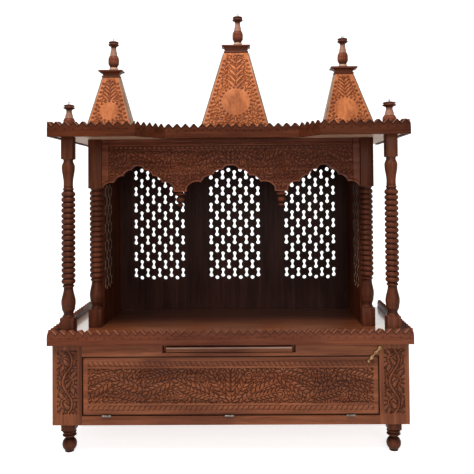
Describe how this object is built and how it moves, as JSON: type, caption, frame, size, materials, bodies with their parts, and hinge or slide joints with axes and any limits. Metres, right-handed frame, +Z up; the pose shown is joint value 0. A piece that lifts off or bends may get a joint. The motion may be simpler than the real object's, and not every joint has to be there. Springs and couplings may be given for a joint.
{
  "type": "household altar cabinet",
  "caption": "Carved wooden household altar cabinet: pierced-wall shrine between turned pillars under a spired roof, on a base with a drop-front door and a slide-out tray.",
  "frame": {"origin": "under the middle of the cabinet's outer box, on the surface that its feet stand on", "axes": "+Z up, +X to the viewer's right facing the front, +Y to the back"},
  "size_m": [0.915, 0.41, 1.1493],
  "materials": {
    "base_wood": "stained and polished, carved, reddish brown",
    "dark_wood": "stained and polished, dark brown",
    "spire_wood": "carved, orange brown",
    "tray_wood": "pale edge, lightly polished",
    "brass": "polished",
    "steel": "satin"
  },
  "bodies": {
    "cabinet": {"arch_board": "dark_wood", "back_wall": "dark_wood", "base_back": "base_wood", "base_bottom_rail": "base_wood", "base_floor": "base_wood", "base_side_left": "base_wood", "base_side_right": "base_wood", "base_stile_left": "base_wood", "base_stile_right": "base_wood", "base_top_rail": "base_wood", "corner_pillar_left": "dark_wood", "corner_pillar_right": "dark_wood", "deck_board": "base_wood", "deck_fence_front": "dark_wood", "deck_fence_left": "dark_wood", "deck_fence_right": "dark_wood", "finial_centre": "dark_wood", "finial_corner_left": "dark_wood", "finial_corner_right": "dark_wood", "finial_left": "dark_wood", "finial_right": "dark_wood", "foot_back_left": "dark_wood", "foot_back_right": "dark_wood", "foot_front_left": "dark_wood", "foot_front_right": "dark_wood", "hinge_fixed_left": "steel", "hinge_fixed_middle": "steel", "hinge_fixed_right": "steel", "keeper_pin": "brass", "pendant_left": "dark_wood", "pendant_right": "dark_wood", "roof_board": "dark_wood", "roof_fence_left": "dark_wood", "roof_fence_middle": "dark_wood", "roof_fence_right": "dark_wood", "roof_fence_splay_left": "dark_wood", "roof_fence_splay_right": "dark_wood", "roof_fence_wing_left": "dark_wood", "roof_fence_wing_right": "dark_wood", "shrine_post_left": "dark_wood", "shrine_post_right": "dark_wood", "shrine_side_left": "dark_wood", "shrine_side_right": "dark_wood", "spire_cap_centre": "dark_wood", "spire_cap_left": "dark_wood", "spire_cap_right": "dark_wood", "spire_centre": "spire_wood", "spire_left": "spire_wood", "spire_right": "spire_wood", "tray_runner_left": "base_wood", "tray_runner_right": "base_wood"},
    "door": {"door_panel": "base_wood", "hinge_moving_left": "steel", "hinge_moving_middle": "steel", "hinge_moving_right": "steel"},
    "tray": {"tray": "tray_wood"},
    "latch": {"latch": "brass"}
  },
  "joints": [
    {"name": "door_hinge", "type": "hinge", "parent": "cabinet", "child": "door", "pos_m": [0, -0.197, 0.1004], "axis": [1, 0, 0], "range_deg": [0, 110]},
    {"name": "tray_slide", "type": "slide", "parent": "cabinet", "child": "tray", "axis": [0, -1, 0], "range_m": [0, 0.2]},
    {"name": "latch_turn", "type": "hinge", "parent": "door", "child": "latch", "pos_m": [0.3447, -0.1962, 0.2345], "axis": [0, 1, 0], "range_deg": [0, 100]}
  ]
}
